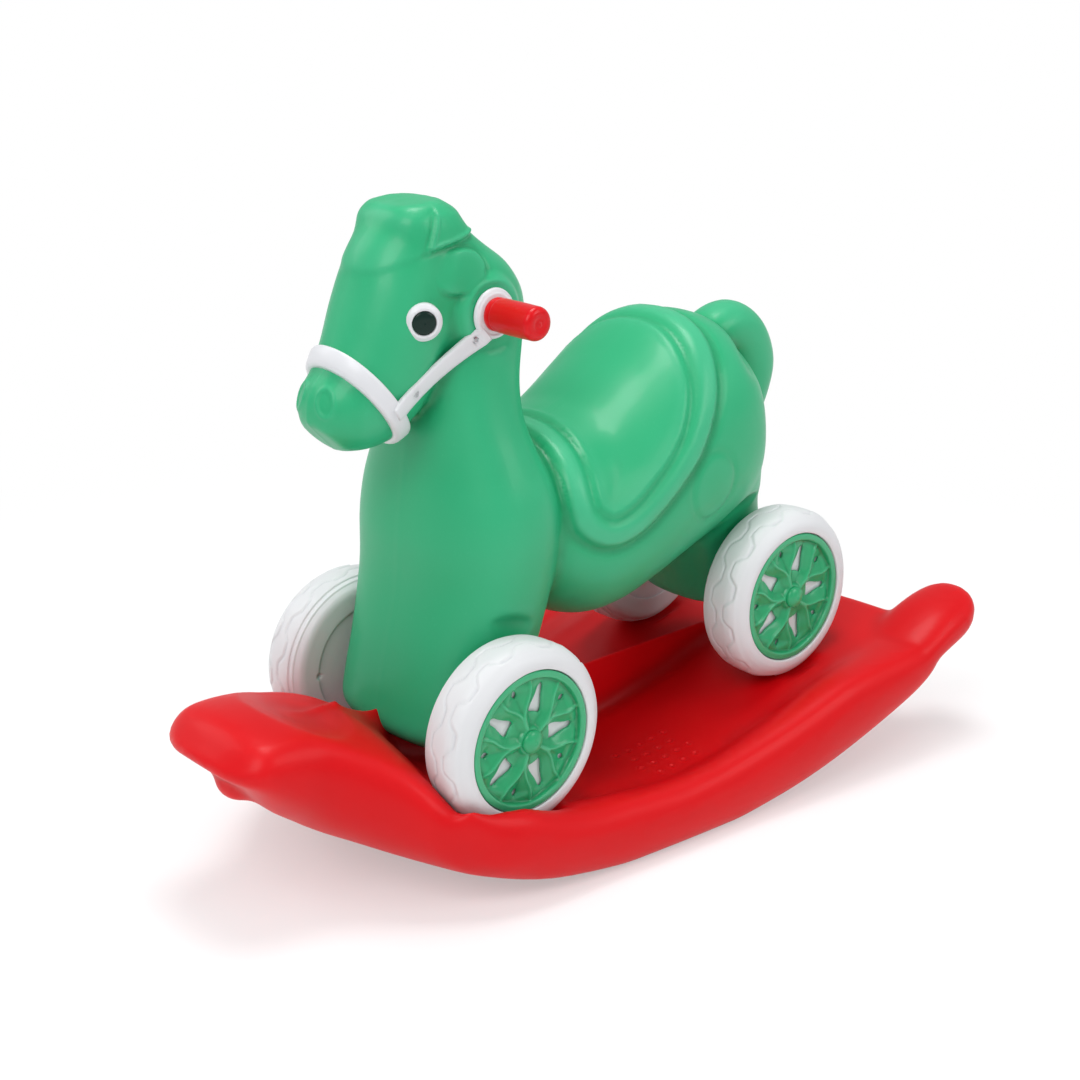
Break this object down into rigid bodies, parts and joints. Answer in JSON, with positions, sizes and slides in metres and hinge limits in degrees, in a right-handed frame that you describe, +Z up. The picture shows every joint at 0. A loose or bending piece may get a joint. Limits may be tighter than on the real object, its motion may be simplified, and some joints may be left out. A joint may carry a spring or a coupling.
{
  "type": "rocking horse",
  "caption": "Moulded ride-on horse on wheels, with hand grips and a bridle, parked in the wheel wells of a curved rocker tray with a raised nose and rear horns.",
  "frame": {"origin": "on the floor, at the middle of the small flat under the rocker tray", "axes": "+Z up, -Y the way the horse faces, +X the horse's left"},
  "size_m": [0.3402, 0.678, 0.486],
  "materials": {
    "shell_green": "smooth moulded plastic with a soft sheen",
    "wheel_white": "moulded, lightly embossed tread",
    "trim_white": "smooth moulded plastic",
    "tray_red": "smooth moulded plastic",
    "grip_red": "smooth moulded plastic",
    "steel": "bright zinc-plated",
    "pupil": "glossy, very dark green"
  },
  "bodies": {
    "tray": {"rocker_tray": "tray_red", "tray_plug": "tray_red"},
    "horse": {"axle_bush_front_left": "trim_white", "axle_bush_front_right": "trim_white", "axle_bush_rear_left": "trim_white", "axle_bush_rear_right": "trim_white", "axle_cap_front_left": "shell_green", "axle_cap_front_right": "shell_green", "axle_cap_rear_left": "shell_green", "axle_cap_rear_right": "shell_green", "bridle_screw_lower_left": "steel", "bridle_screw_lower_right": "steel", "bridle_screw_upper_left": "steel", "bridle_screw_upper_right": "steel", "cheek_strap_left": "trim_white", "cheek_strap_right": "trim_white", "eye_pupil_left": "pupil", "eye_pupil_right": "pupil", "eye_white_left": "trim_white", "eye_white_right": "trim_white", "front_axle": "steel", "handle_bar": "steel", "handle_disc_left": "trim_white", "handle_disc_right": "trim_white", "handle_grip_left": "grip_red", "handle_grip_right": "grip_red", "horse_body": "shell_green", "noseband": "trim_white", "rear_axle": "steel"},
    "front_left_wheel": {"wheel_front_left": "wheel_white", "wheel_cover_front_left": "shell_green"},
    "front_right_wheel": {"wheel_front_right": "wheel_white", "wheel_cover_front_right": "shell_green"},
    "rear_left_wheel": {"wheel_rear_left": "wheel_white", "wheel_cover_rear_left": "shell_green"},
    "rear_right_wheel": {"wheel_rear_right": "wheel_white", "wheel_cover_rear_right": "shell_green"}
  },
  "joints": [
    {"name": "horse_lift", "type": "slide", "parent": "tray", "child": "horse", "axis": [0, 0, 1], "range_m": [0, 0.25]},
    {"name": "front_left_spin", "type": "hinge", "parent": "horse", "child": "front_left_wheel", "pos_m": [0, -0.12929, 0.11547], "axis": [1, 0, 0], "continuous": true},
    {"name": "front_right_spin", "type": "hinge", "parent": "horse", "child": "front_right_wheel", "pos_m": [0, -0.12929, 0.11547], "axis": [1, 0, 0], "continuous": true},
    {"name": "rear_left_spin", "type": "hinge", "parent": "horse", "child": "rear_left_wheel", "pos_m": [0, 0.1693, 0.14453], "axis": [1, 0, 0], "continuous": true},
    {"name": "rear_right_spin", "type": "hinge", "parent": "horse", "child": "rear_right_wheel", "pos_m": [0, 0.1693, 0.14453], "axis": [1, 0, 0], "continuous": true}
  ]
}
